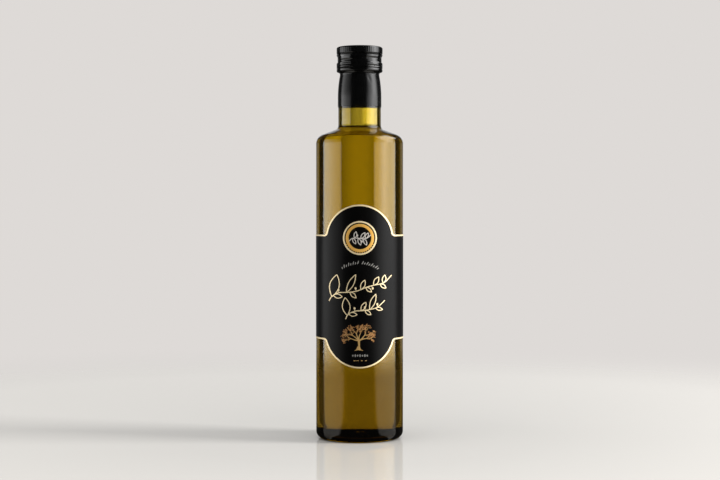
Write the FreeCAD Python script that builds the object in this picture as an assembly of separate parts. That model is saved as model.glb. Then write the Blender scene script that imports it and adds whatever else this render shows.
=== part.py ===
"""A half-litre olive oil bottle: tall round glass, its oil, a screw cap, a neck sleeve and a label.

Millimetres. +Z is up, the origin is on the bottle's axis at the table, and the label faces -Y.
Every round piece is one closed profile in the XZ plane, turned about Z.
"""

import FreeCAD
import Part

import math
import os

# Driving dimensions of the whole bottle
TOTAL_HEIGHT = 268.5
BODY_RADIUS = 59.7 / 2
GLASS_WALL = 2.1
BASE_GLASS = 4.6

# Foot: a rounded heel, a flat ring to stand on and a shallow punt inside it
HEEL_RADIUS = 5.0
FOOT_RING_WIDTH = 2.4
PUNT_HEIGHT = 3.2
INNER_HEEL_RADIUS = 4.5
INNER_DOME_HEIGHT = 1.9

# Shoulder and neck
SHOULDER_START = 202.4
SHOULDER_RADIUS = 6.5
SHOULDER_SLOPE_DEG = 20.0
NECK_RADIUS = 14.6
NECK_WALL = 4.0
NECK_FILLET = 3.4
NECK_INNER_FILLET = 4.9
NECK_TAPER_START = 234.0
NECK_TAPER_RADIUS = 81.0
NECK_WAIST = 249.0
MOUTH_RADIUS = 9.6

# Finish: the plain ring under the cap
FINISH_RADIUS = 13.9
FINISH_STEP = 0.8
RIM_CHAMFER = 0.6
FINISH_GAP = 0.15

# Screw cap, from its lower edge up to its knurled band
CAP_RADIUS = 15.8
CAP_BOTTOM = 251.2
CAP_TOP_THICKNESS = 1.6
CAP_CORNER = 1.2
CAP_EDGE = 0.5
TAMPER_LINE = 253.6
THREAD_BOTTOM = 257.2
THREAD_TOP = 262.4
THREAD_DEPTH = 0.6
THREAD_RUN_OUT = 0.8
BEAD = 263.6
GROOVE_DEPTH = 0.35
KNURL_BOTTOM = 264.4
KNURL_COUNT = 60
KNURL_DEPTH = 0.22
KNURL_HALF_WIDTH = 0.5

# Neck sleeve
SLEEVE_THICKNESS = 0.35
SLEEVE_BOTTOM = 227.4
SLEEVE_FLARE = 1.1
SLEEVE_FLARE_WIDTH = 0.8

# Oil
OIL_LEVEL = 233.0

# Label: a straight band, with a round arch above it and one below it at the front
LABEL_THICKNESS = 0.15
LABEL_TOP = 140.1
LABEL_BOTTOM = 69.1
TOP_ARCH_RADIUS = 22.8
TOP_ARCH_CENTRE = 137.6
BOTTOM_ARCH_RADIUS = 23.7
BOTTOM_ARCH_CENTRE = 74.3
ARCH_FILLET = 1.5
LABEL_BACK_GAP = 7.0

FULL_TURN = 360.0
ORIGIN = FreeCAD.Vector(0, 0, 0)
UP = FreeCAD.Vector(0, 0, 1)
FRONT = FreeCAD.Vector(0, -1, 0)
RIM = TOTAL_HEIGHT - CAP_TOP_THICKNESS
TAPER_CENTRE = NECK_RADIUS - NECK_TAPER_RADIUS


class Profile:
    """A chain of lines and arcs in the XZ plane, written from point to point as (radius, height)."""

    def __init__(self, r, z):
        self.edges = []
        self.first = (r, z)
        self.last = (r, z)

    def line(self, r, z):
        """Runs straight to (r, z)."""
        self.edges.append(Part.LineSegment(point(*self.last), point(r, z)).toShape())
        self.last = (r, z)
        return self

    def arc(self, centre, radius, start_deg, end_deg):
        """Runs round an arc that starts where the chain ends; angles go from +X towards +Z."""
        middle = around(centre, radius, (start_deg + end_deg) / 2)
        end = around(centre, radius, end_deg)
        self.edges.append(Part.Arc(point(*self.last), point(*middle), point(*end)).toShape())
        self.last = end
        return self

    def dome(self, height, sag, reach):
        """Starts on the axis at height and falls by sag on an arc out to the radius reach."""
        radius = (reach**2 + sag**2) / (2 * sag)
        edge_deg = math.degrees(math.acos(reach / radius))
        return self.arc((0, height - radius), radius, 90, edge_deg)

    def groove(self, z):
        """Runs up past a V groove at height z and back out to the same radius."""
        r = self.last[0]
        self.line(r, z - GROOVE_DEPTH)
        self.line(r - GROOVE_DEPTH, z)
        return self.line(r, z + GROOVE_DEPTH)

    def turned(self):
        """The chain, closed and turned into a solid of revolution."""
        self.line(*self.first)
        face = Part.Face(Part.Wire(self.edges))
        return face.revolve(ORIGIN, UP, FULL_TURN)


def point(r, z):
    """A point of the XZ plane."""
    return FreeCAD.Vector(r, 0, z)


def around(centre, radius, degrees):
    """The point at that angle on a circle in the XZ plane."""
    turn = math.radians(degrees)
    return (centre[0] + radius * math.cos(turn), centre[1] + radius * math.sin(turn))


def waist_angle():
    """How far the neck's long taper arc has turned at the waist, in degrees."""
    return math.degrees(math.asin((NECK_WAIST - NECK_TAPER_START) / NECK_TAPER_RADIUS))


def shoulder_to_neck(profile, body_radius, corner, neck_radius, fillet):
    """Carries a wall from the body over the shoulder into the neck: corner arc, slope, fillet."""
    slope = math.radians(SHOULDER_SLOPE_DEG)
    profile.arc((body_radius - corner, SHOULDER_START), corner, 0, 90 - SHOULDER_SLOPE_DEG)
    corner_r, corner_z = profile.last
    foot_r = neck_radius + fillet * (1 - math.sin(slope))
    foot_z = corner_z + (corner_r - foot_r) * math.tan(slope)
    profile.line(foot_r, foot_z)
    centre = (neck_radius + fillet, foot_z + fillet * math.cos(slope))
    return profile.arc(centre, fillet, 270 - SHOULDER_SLOPE_DEG, 180)


def inside_to_neck():
    """The inside of the bottle from the middle of its floor up into the neck, as an open profile."""
    inner = BODY_RADIUS - GLASS_WALL
    floor_radius = inner - INNER_HEEL_RADIUS
    inside = Profile(0, BASE_GLASS + INNER_DOME_HEIGHT)
    inside.dome(BASE_GLASS + INNER_DOME_HEIGHT, INNER_DOME_HEIGHT, floor_radius)
    heel_centre = (floor_radius, BASE_GLASS + INNER_HEEL_RADIUS)
    inside.arc(heel_centre, INNER_HEEL_RADIUS, 270, 360)
    inside.line(inner, SHOULDER_START)
    corner = SHOULDER_RADIUS - GLASS_WALL
    return shoulder_to_neck(inside, inner, corner, NECK_RADIUS - NECK_WALL, NECK_INNER_FILLET)


def bottle_inside():
    """All the space inside the glass, out through the mouth."""
    inside = inside_to_neck()
    inside.line(inside.last[0], NECK_TAPER_START)
    inside.line(MOUTH_RADIUS, NECK_WAIST)
    inside.line(MOUTH_RADIUS, RIM)
    return inside.line(0, RIM).turned()


def glass_bottle():
    """The glass: foot ring round the punt, straight wall, sloped shoulder, neck and plain finish."""
    ring_outer = BODY_RADIUS - HEEL_RADIUS
    outside = Profile(0, PUNT_HEIGHT)
    outside.dome(PUNT_HEIGHT, PUNT_HEIGHT, ring_outer - FOOT_RING_WIDTH)
    outside.line(ring_outer, 0)
    outside.arc((ring_outer, HEEL_RADIUS), HEEL_RADIUS, 270, 360)
    outside.line(BODY_RADIUS, SHOULDER_START)
    shoulder_to_neck(outside, BODY_RADIUS, SHOULDER_RADIUS, NECK_RADIUS, NECK_FILLET)
    outside.line(NECK_RADIUS, NECK_TAPER_START)
    outside.arc((TAPER_CENTRE, NECK_TAPER_START), NECK_TAPER_RADIUS, 0, waist_angle())
    outside.line(outside.last[0], CAP_BOTTOM)
    outside.line(FINISH_RADIUS, CAP_BOTTOM + FINISH_STEP)
    outside.line(FINISH_RADIUS, RIM - RIM_CHAMFER)
    outside.line(FINISH_RADIUS - RIM_CHAMFER, RIM)
    return outside.line(0, RIM).turned().cut(bottle_inside())


def olive_oil():
    """The oil: the bottle's inside, filled up into the neck behind the sleeve."""
    oil = inside_to_neck()
    oil.line(oil.last[0], OIL_LEVEL)
    return oil.line(0, OIL_LEVEL).turned()


def screw_cap():
    """The cap: plain skirt with its tamper line, rolled thread, bead and knurled band."""
    inner = FINISH_RADIUS + FINISH_GAP
    valley = CAP_RADIUS - THREAD_DEPTH
    cap = Profile(inner, CAP_BOTTOM)
    cap.line(CAP_RADIUS - CAP_EDGE, CAP_BOTTOM)
    cap.arc((CAP_RADIUS - CAP_EDGE, CAP_BOTTOM + CAP_EDGE), CAP_EDGE, 270, 360)
    cap.groove(TAMPER_LINE)
    cap.line(CAP_RADIUS, THREAD_BOTTOM)
    cap.line(valley, THREAD_BOTTOM + THREAD_RUN_OUT)
    cap.line(valley, THREAD_TOP - THREAD_RUN_OUT)
    cap.line(CAP_RADIUS, THREAD_TOP)
    cap.groove(BEAD)
    cap.line(CAP_RADIUS, TOTAL_HEIGHT - CAP_CORNER)
    cap.arc((CAP_RADIUS - CAP_CORNER, TOTAL_HEIGHT - CAP_CORNER), CAP_CORNER, 0, 90)
    cap.line(0, TOTAL_HEIGHT)
    cap.line(0, RIM)
    return cap.line(inner, RIM).turned().cut(knurl_notches())


def knurl_notches():
    """The upright V notches round the cap's top band."""
    mouth = CAP_RADIUS + KNURL_DEPTH
    root = FreeCAD.Vector(CAP_RADIUS - KNURL_DEPTH, 0, KNURL_BOTTOM)
    left = FreeCAD.Vector(mouth, -KNURL_HALF_WIDTH, KNURL_BOTTOM)
    right = FreeCAD.Vector(mouth, KNURL_HALF_WIDTH, KNURL_BOTTOM)
    outline = Part.makePolygon([root, left, right, root])
    notch = Part.Face(outline).extrude(UP * (TOTAL_HEIGHT - CAP_CORNER - KNURL_BOTTOM))
    notches = []
    for index in range(KNURL_COUNT):
        turned = notch.copy()
        turned.rotate(ORIGIN, UP, index * FULL_TURN / KNURL_COUNT)
        notches.append(turned)
    return Part.makeCompound(notches)


def neck_sleeve():
    """The shrunk film: straight over the neck, drawn in below the cap and flared against its edge."""
    outer = NECK_RADIUS + SLEEVE_THICKNESS
    waist = waist_angle()
    sleeve = Profile(NECK_RADIUS, SLEEVE_BOTTOM)
    sleeve.line(outer, SLEEVE_BOTTOM)
    sleeve.line(outer, NECK_TAPER_START)
    outer_centre = (TAPER_CENTRE + SLEEVE_THICKNESS, NECK_TAPER_START)
    sleeve.arc(outer_centre, NECK_TAPER_RADIUS, 0, waist)
    waist_outer = sleeve.last[0]
    sleeve.line(waist_outer, CAP_BOTTOM - SLEEVE_FLARE)
    sleeve.line(waist_outer + SLEEVE_FLARE_WIDTH, CAP_BOTTOM)
    sleeve.line(waist_outer - SLEEVE_THICKNESS, CAP_BOTTOM)
    sleeve.line(waist_outer - SLEEVE_THICKNESS, NECK_WAIST)
    sleeve.arc((TAPER_CENTRE, NECK_TAPER_START), NECK_TAPER_RADIUS, waist, 0)
    return sleeve.turned()


def label_band(depth):
    """The label's straight band as a block that reaches depth forward from the bottle's axis."""
    width = 4 * BODY_RADIUS
    corner = FreeCAD.Vector(-width / 2, min(0, -depth), LABEL_BOTTOM)
    return Part.makeBox(width, abs(depth), LABEL_TOP - LABEL_BOTTOM, corner)


def label_front(depth):
    """The label's outline seen from the front: the band and both arches, with soft inner corners."""
    top = Part.makeCylinder(TOP_ARCH_RADIUS, depth, point(0, TOP_ARCH_CENTRE), FRONT)
    bottom = Part.makeCylinder(BOTTOM_ARCH_RADIUS, depth, point(0, BOTTOM_ARCH_CENTRE), FRONT)
    outline = label_band(depth).fuse(top).fuse(bottom).removeSplitter()
    corners = [edge for edge in outline.Edges if is_inner_corner(edge, depth)]
    return outline.makeFillet(ARCH_FILLET, corners)


def is_inner_corner(edge, depth):
    """Whether an edge of the outline runs front to back where an arch meets the straight band."""
    ends = [vertex.Point for vertex in edge.Vertexes]
    if len(ends) != 2 or abs(abs(ends[0].y - ends[1].y) - depth) > 1e-6:
        return False
    return abs(ends[0].x) < BODY_RADIUS


def label():
    """The printed label: a thin band round the body, arched at the front and open at the back."""
    depth = 2 * BODY_RADIUS
    low = FreeCAD.Vector(0, 0, BOTTOM_ARCH_CENTRE - BOTTOM_ARCH_RADIUS - 1)
    reach = TOP_ARCH_CENTRE + TOP_ARCH_RADIUS + 1 - low.z
    shell = Part.makeCylinder(BODY_RADIUS + LABEL_THICKNESS, reach, low)
    shell = shell.cut(Part.makeCylinder(BODY_RADIUS, reach, low))
    gap_corner = FreeCAD.Vector(-LABEL_BACK_GAP / 2, 0, low.z)
    gap = Part.makeBox(LABEL_BACK_GAP, depth, reach, gap_corner)
    front = shell.common(label_front(depth))
    back = shell.common(label_band(-depth)).cut(gap)
    return front.fuse(back).removeSplitter()


PIECES = {
    "glass_bottle": glass_bottle,
    "olive_oil": olive_oil,
    "screw_cap": screw_cap,
    "neck_sleeve": neck_sleeve,
    "label": label,
}


def main():
    """Builds every piece and writes one STEP file for each."""
    os.makedirs("parts", exist_ok=True)
    for name, build in PIECES.items():
        solids = build().Solids
        if len(solids) != 1 or not solids[0].isValid():
            raise RuntimeError(f"{name} is not one valid solid")
        solids[0].exportStep(f"parts/{name}.step")
        box = solids[0].BoundBox
        print(name, f"{solids[0].Volume:.1f} mm3", f"z {box.ZMin:.2f} to {box.ZMax:.2f}")


main()
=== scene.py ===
"""The looks of a half-litre bottle of olive oil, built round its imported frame.

The bottle, its oil, cap, sleeve and label are turned, cut and wrapped here as their makers do it:
glass from a mould outline, a rolled cap, shrunk film, and a label printed flat and bent round the body.
Sizes are in millimetres until a mesh is made. The label faces -Y.
"""

import logging
import math
import random
from collections.abc import Callable, Iterable, Iterator, Sequence
from contextlib import contextmanager
from dataclasses import dataclass, field
from enum import Enum
from itertools import pairwise

import bmesh
import bpy
from mathutils import Matrix, Vector


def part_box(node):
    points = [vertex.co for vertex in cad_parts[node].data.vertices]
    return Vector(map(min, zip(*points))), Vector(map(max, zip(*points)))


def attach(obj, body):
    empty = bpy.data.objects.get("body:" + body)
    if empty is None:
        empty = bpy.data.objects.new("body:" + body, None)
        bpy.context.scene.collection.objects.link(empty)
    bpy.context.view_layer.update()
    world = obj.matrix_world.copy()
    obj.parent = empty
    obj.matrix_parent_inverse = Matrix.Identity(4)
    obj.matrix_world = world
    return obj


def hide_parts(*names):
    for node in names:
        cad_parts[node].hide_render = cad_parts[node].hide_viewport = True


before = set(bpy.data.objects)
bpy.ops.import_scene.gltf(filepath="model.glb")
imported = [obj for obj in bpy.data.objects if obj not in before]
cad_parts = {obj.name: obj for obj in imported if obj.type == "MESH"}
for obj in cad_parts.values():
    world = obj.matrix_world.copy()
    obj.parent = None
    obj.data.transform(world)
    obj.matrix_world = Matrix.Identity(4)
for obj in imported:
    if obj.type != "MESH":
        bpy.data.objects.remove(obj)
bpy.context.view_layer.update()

MM = 0.001
BODY = "root"
LOG = logging.getLogger("olive_oil_bottle")

Point = tuple[float, float]
Material = bpy.types.Material
Piece = bpy.types.Object
Tree = bpy.types.NodeTree
Node = bpy.types.Node
Socket = bpy.types.NodeSocket
Sockets = bpy.types.bpy_prop_collection


# ---------------------------------------------------------------- bench: small modelling tools


def clear_selection() -> None:
    """Leaves nothing selected and no piece active."""
    if bpy.context.object and bpy.context.object.mode != "OBJECT":
        bpy.ops.object.mode_set(mode="OBJECT")
    bpy.ops.object.select_all(action="DESELECT")


def hold(piece: Piece) -> None:
    """Makes the piece the only one that operators act on.

    Args:
        piece: The piece.
    """
    clear_selection()
    piece.select_set(True)
    bpy.context.view_layer.objects.active = piece


def named(name: str) -> Piece:
    """Names the piece just added, and its mesh.

    Args:
        name: The name.

    Returns:
        The piece.
    """
    piece = bpy.context.object
    piece.name = name
    piece.data.name = name
    return piece


@contextmanager
def editing(piece: Piece) -> Iterator[None]:
    """Opens a piece in edit mode with all its points selected, and closes it afterwards.

    Args:
        piece: The piece.
    """
    hold(piece)
    bpy.ops.object.mode_set(mode="EDIT")
    bpy.ops.mesh.select_mode(type="VERT")
    bpy.ops.mesh.select_all(action="SELECT")
    yield
    bpy.ops.object.mode_set(mode="OBJECT")


def select_points(piece: Piece, test: Callable[[bmesh.types.BMVert], bool]) -> None:
    """Selects exactly the points that pass a test.

    Args:
        piece: The piece, in edit mode.
        test: Takes one point, and says whether to pick it.
    """
    bpy.ops.mesh.select_all(action="DESELECT")
    mesh = bmesh.from_edit_mesh(piece.data)
    for point in mesh.verts:
        if test(point):
            point.select_set(True)
    mesh.select_flush_mode()
    bmesh.update_edit_mesh(piece.data)


def apply_modifier(piece: Piece, kind: str, **settings: object) -> None:
    """Adds a modifier, sets it and applies it.

    Args:
        piece: The piece that takes it.
        kind: The modifier's type.
        settings: The modifier's own properties.
    """
    hold(piece)
    modifier = piece.modifiers.new(kind.title(), kind)
    for key, value in settings.items():
        setattr(modifier, key, value)
    bpy.ops.object.modifier_apply(modifier=modifier.name)


def press_in(piece: Piece, depth: float, share_at: Callable[[Vector], float]) -> None:
    """Presses a relief into a piece: a weight for each point, then a displacement inwards.

    Args:
        piece: The piece.
        depth: The full depth, in millimetres.
        share_at: Takes a point's place, in metres, and says what share of the depth to press there.
    """
    group = piece.vertex_groups.new(name="relief")
    for point in piece.data.vertices:
        share = share_at(point.co)
        if share > 0:
            group.add([point.index], share, "REPLACE")
    apply_modifier(piece, "DISPLACE", vertex_group=group.name, mid_level=0.0, strength=-depth * MM)


def close_up(piece: Piece, gap: float = 0.001) -> None:
    """Merges doubled points of the piece and turns its faces outwards.

    Args:
        piece: The piece to close.
        gap: How far apart two points may be and still merge, in millimetres.
    """
    with editing(piece):
        bpy.ops.mesh.remove_doubles(threshold=gap * MM)
        bpy.ops.mesh.normals_make_consistent(inside=False)


def smooth_under(piece: Piece, angle: float) -> None:
    """Shades a piece smooth over every edge that turns less than an angle, in degrees."""
    hold(piece)
    bpy.ops.object.shade_smooth_by_angle(angle=math.radians(angle))


def polar(centre: Point, radius: float, angle: float) -> Point:
    """Finds the point at a distance and an angle from another.

    Args:
        centre: The other point.
        radius: The distance.
        angle: The angle, in degrees from across towards up.

    Returns:
        The point.
    """
    turn = math.radians(angle)
    return centre[0] + radius * math.cos(turn), centre[1] + radius * math.sin(turn)


class Outline:
    """A line drawn point by point in millimetres, from straight runs and arcs."""

    STEP_DEG = 4.5
    HOLD = 0.7

    def __init__(self, across: float, up: float) -> None:
        """Starts the line at (across, up)."""
        self.points: list[Point] = [(across, up)]

    def run(self, across: float, up: float) -> "Outline":
        """Draws a straight run, with a point close to each end of a long one to hold its shading.

        Args:
            across: Where the run ends, across.
            up: Where the run ends, upwards.

        Returns:
            The outline itself.
        """
        start = Vector(self.points[-1])
        reach = Vector((across, up)) - start
        if reach.length > 4 * self.HOLD:
            short = reach.normalized() * self.HOLD
            self.points.append(tuple(start + short))
            self.points.append(tuple(start + reach - short))
        self.points.append((across, up))
        return self

    def to(self, *points: Point) -> "Outline":
        """Adds bare points, with none beside them to hold the shading."""
        self.points += points
        return self

    def arc(self, centre: Point, radius: float, start: float, end: float, least: int = 3) -> "Outline":
        """Draws an arc from the line's end.

        Args:
            centre: The arc's centre.
            radius: Its radius.
            start: The angle that it starts at, in degrees from across towards up.
            end: The angle that it ends at.
            least: The fewest steps that it is drawn in.

        Returns:
            The outline itself.
        """
        steps = max(least, round(abs(end - start) / self.STEP_DEG))
        turns = (start + (end - start) * step / steps for step in range(1, steps + 1))
        return self.to(*(polar(centre, radius, turn) for turn in turns))

    def dome(self, top: float, sag: float, reach: float) -> "Outline":
        """Draws a shallow dome out from the axis.

        Args:
            top: The dome's height on the axis.
            sag: How far it falls.
            reach: How far out it goes.

        Returns:
            The outline itself.
        """
        radius = (reach**2 + sag**2) / (2 * sag)
        edge = math.degrees(math.acos(reach / radius))
        return self.arc((0, top - radius), radius, 90, edge, least=8)


def draw_lines(name: str, *chains: Sequence[Point]) -> Piece:
    """Draws chains of edges as a new piece, each from one point by extrusion.

    Args:
        name: The new piece's name.
        chains: Each chain's (across, up) points, in millimetres.

    Returns:
        The piece, which has no faces yet.
    """
    clear_selection()
    bpy.ops.mesh.primitive_plane_add(size=MM)
    piece = named(name)
    with editing(piece):
        bpy.ops.mesh.delete(type="VERT")
        for chain in chains:
            places = [Vector((across, 0, up)) * MM for across, up in chain]
            bpy.ops.mesh.select_all(action="DESELECT")
            bpy.ops.mesh.primitive_plane_add(size=MM)
            bpy.ops.mesh.merge(type="CENTER")
            bpy.ops.transform.translate(value=places[0])
            for here, there in pairwise(places):
                bpy.ops.mesh.extrude_vertices_move(TRANSFORM_OT_translate={"value": there - here})
    return piece


def turn_on_lathe(name: str, points: Sequence[Point], segments: int) -> Piece:
    """Draws an outline and spins it round the upright axis.

    Args:
        name: The new piece's name.
        points: (radius, height) points in millimetres; both ends on the axis, or a closed loop.
        segments: How many steps make the full turn.

    Returns:
        The closed, smooth piece.
    """
    piece = draw_lines(name, points)
    with editing(piece):
        bpy.ops.mesh.spin(steps=segments, angle=math.tau, center=(0, 0, 0), axis=(0, 0, 1))
    close_up(piece)
    bpy.ops.object.shade_smooth()
    return piece


# ---------------------------------------------------------------- finishes


def linear(code: str) -> tuple[float, float, float, float]:
    """Turns an sRGB hex code such as "#c8a050" into linear red, green, blue and alpha.

    Args:
        code: The hex code.

    Returns:
        The colour, from 0 to 1.
    """
    parts = [int(code[i : i + 2], 16) / 255 for i in (1, 3, 5)]
    r, g, b = (p / 12.92 if p <= 0.04045 else ((p + 0.055) / 1.055) ** 2.4 for p in parts)
    return (r, g, b, 1.0)


def add_node(tree: Tree, kind: str, sockets: dict | None = None, **settings: object) -> Node:
    """Adds one node with its settings, values and links.

    Args:
        tree: The node tree.
        kind: The node's type, without its "ShaderNode" prefix.
        sockets: Input name or number to a value, to the output that feeds it, or to a node whose first
            output does.
        settings: The node's own properties.

    Returns:
        The new node.
    """
    node = tree.nodes.new("ShaderNode" + kind)
    for key, value in settings.items():
        setattr(node, key, value)
    for key, value in (sockets or {}).items():
        if isinstance(value, Node):
            value = next(output for output in value.outputs if output.enabled)
        if isinstance(value, Socket):
            tree.links.new(value, node.inputs[key])
        else:
            node.inputs[key].default_value = value
    return node


def new_material(name: str) -> tuple[Material, Tree]:
    """Makes an empty material with nodes.

    Args:
        name: The material's name.

    Returns:
        The material and its node tree, cleared.
    """
    material = bpy.data.materials.new(name)
    material.use_nodes = True
    material.node_tree.nodes.clear()
    return material, material.node_tree


def dress(piece: Piece, material: Material) -> None:
    """Gives the piece that material and no other."""
    piece.data.materials.clear()
    piece.data.materials.append(material)


@dataclass(frozen=True)
class Ease:
    """A level that goes from one value to another between two places, and stays at them past these."""

    start: float
    end: float
    low: float = 0.0
    high: float = 1.0

    def sockets(self, place: Node | Socket) -> dict[str, object]:
        """What a Map Range node takes to follow the ease over a place.

        Args:
            place: The node or output that gives the place.

        Returns:
            The node's sockets.
        """
        ends = {"From Min": self.start, "From Max": self.end, "To Min": self.low, "To Max": self.high}
        return {"Value": place} | ends


@dataclass(frozen=True)
class MouldedGlass:
    """Soda-lime bottle glass, blown in a mould: smooth, clear, with a faint olive cast in its depth.

    Where oil wets the wall the two indices nearly match, so that face only bends light.
    """

    name: str = "soda_lime_glass_blown"
    ior: float = 1.52
    cast: str = "#d8cd37"
    density: float = 260.0
    wetted: str = "wetted"

    def make(self) -> Material:
        """Builds the material.

        Returns:
            The material.
        """
        material, tree = new_material(self.name)
        clear = add_node(tree, "BsdfGlass", {"IOR": self.ior, "Roughness": 0.0})
        wet = add_node(tree, "BsdfRefraction", {"IOR": self.ior, "Roughness": 0.0})
        where = add_node(tree, "Attribute", attribute_name=self.wetted).outputs["Fac"]
        face = add_node(tree, "MixShader", {0: where, 1: clear, 2: wet})
        depth = add_node(tree, "VolumeAbsorption", {"Color": linear(self.cast), "Density": self.density})
        add_node(tree, "OutputMaterial", {"Surface": face, "Volume": depth})
        return material


@dataclass(frozen=True)
class PressedOil:
    """Virgin olive oil: a clear golden liquid that darkens to amber with depth."""

    name: str = "olive_oil_pressed"
    ior: float = 1.467
    tint: str = "#f1e755"
    density: float = 110.0

    def make(self) -> Material:
        """Builds the material.

        Returns:
            The material.
        """
        material, tree = new_material(self.name)
        body = add_node(tree, "BsdfRefraction", {"IOR": self.ior, "Roughness": 0.0})
        depth = add_node(tree, "VolumeAbsorption", {"Color": linear(self.tint), "Density": self.density})
        add_node(tree, "OutputMaterial", {"Surface": body, "Volume": depth})
        return material


@dataclass(frozen=True)
class Coating:
    """A coat over metal, film or paper: two close colours in soft clouds, and a fine relief.

    Tone, sheen and relief are patterns, each given as its grain in millimetres and its detail. They lay
    out the colours, the roughness between its two ends, and the bump, given as strength and height in
    millimetres.
    """

    name: str
    deep: str
    light: str
    tone: Point
    sheen: Point
    relief: Point
    rough: Point
    bump: Point
    ior: float = 1.5
    metal: float = 0.0
    specular: float = 0.5

    def make(self) -> Material:
        """Builds the material.

        Returns:
            The material.
        """
        material, tree = new_material(self.name)
        place = add_node(tree, "TexCoord").outputs["Object"]
        patterns = {}
        for grain, detail in dict.fromkeys((self.tone, self.sheen, self.relief)):
            scale = 1 / (grain * MM)
            noise = add_node(tree, "TexNoise", {"Vector": place, "Scale": scale, "Detail": detail})
            patterns[grain, detail] = noise
        shade = {"Factor": patterns[self.tone], "A": linear(self.deep), "B": linear(self.light)}
        shade = add_node(tree, "Mix", shade, data_type="RGBA")
        rough = add_node(tree, "MapRange", Ease(0, 1, *self.rough).sockets(patterns[self.sheen]))
        strength, height = self.bump
        bump = {"Height": patterns[self.relief], "Strength": strength, "Distance": height * MM}
        bump = add_node(tree, "Bump", bump)
        coat = {"Base Color": shade, "Roughness": rough, "Normal": bump, "IOR": self.ior}
        coat |= {"Metallic": self.metal, "Specular IOR Level": self.specular}
        coat = add_node(tree, "BsdfPrincipled", coat)
        add_node(tree, "OutputMaterial", {"Surface": coat})
        return material


@dataclass(frozen=True)
class CapLacquer(Coating):
    """Gloss black lacquer baked on rolled aluminium: deep black, sharp highlights, faint orange peel."""

    name: str = "aluminium_black_lacquered"
    deep: str = "#020202"
    light: str = "#060606"
    tone: Point = (6.0, 3.0)
    sheen: Point = (6.0, 3.0)
    relief: Point = (0.9, 2.0)
    rough: Point = (0.1, 0.17)
    bump: Point = (0.04, 0.1)
    ior: float = 1.62


@dataclass(frozen=True)
class ShrinkFilm(Coating):
    """Black shrink film drawn on by heat: satin, with slight ripples where it pulled in."""

    name: str = "shrink_film_black_satin"
    deep: str = "#020202"
    light: str = "#070707"
    tone: Point = (5.0, 3.0)
    sheen: Point = (5.0, 3.0)
    relief: Point = (5.0, 3.0)
    rough: Point = (0.16, 0.22)
    bump: Point = (0.06, 0.3)


@dataclass(frozen=True)
class CoatedPaper(Coating):
    """Black label paper with a satin coat: near black, soft broad sheen, fine paper tooth.

    Real tooth is about a tenth of a millimetre. It is drawn three times as coarse, or it wouldn't show.
    """

    name: str = "label_paper_black_coated"
    deep: str = "#030303"
    light: str = "#080707"
    tone: Point = (11.0, 2.0)
    sheen: Point = (0.35, 4.0)
    relief: Point = (0.35, 4.0)
    rough: Point = (0.28, 0.42)
    bump: Point = (0.12, 0.03)
    ior: float = 1.45
    specular: float = 0.2


@dataclass(frozen=True)
class StampedFoil(Coating):
    """Metal foil stamped hot on paper: a soft metallic shine, broken up by the paper's tooth.

    The tooth is drawn as coarse as the paper's, for the same reason.
    """

    tone: Point = (0.4, 3.0)
    sheen: Point = (0.4, 3.0)
    relief: Point = (0.4, 3.0)
    rough: Point = (0.3, 0.46)
    bump: Point = (0.2, 0.03)
    metal: float = 0.4


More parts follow.
